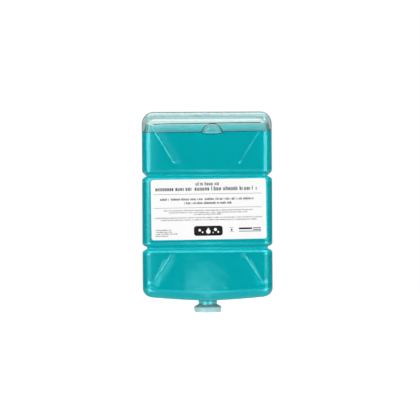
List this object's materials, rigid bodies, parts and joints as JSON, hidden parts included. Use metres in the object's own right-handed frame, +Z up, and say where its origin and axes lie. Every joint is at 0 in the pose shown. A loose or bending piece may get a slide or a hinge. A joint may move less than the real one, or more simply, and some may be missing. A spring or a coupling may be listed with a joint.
{
  "type": "hand soap refill pack",
  "caption": "Clear rectangular blow-moulded refill bottle with grooves round its body, filled with turquoise liquid soap, held neck down, with a pierceable closure and a front label.",
  "frame": {"origin": "middle of the closure's flat underside, on the neck's axis", "axes": "+Z up along the neck's axis with the neck at the bottom, as the pack sits in a dispenser; the front with the label faces -Y; +X to the right seen from the front"},
  "size_m": [0.114, 0.0613, 0.1772],
  "materials": {
    "bottle_plastic": "clear, faintly green-blue, glossy blow-moulded plastic",
    "liquid_soap": "clear turquoise liquid",
    "closure_plastic": "milky translucent moulded plastic, satin",
    "label_paper": "white coated paper label, matt"
  },
  "bodies": {
    "root": {"bottle": "bottle_plastic", "soap": "liquid_soap", "closure": "closure_plastic", "label": "label_paper"}
  },
  "joints": []
}
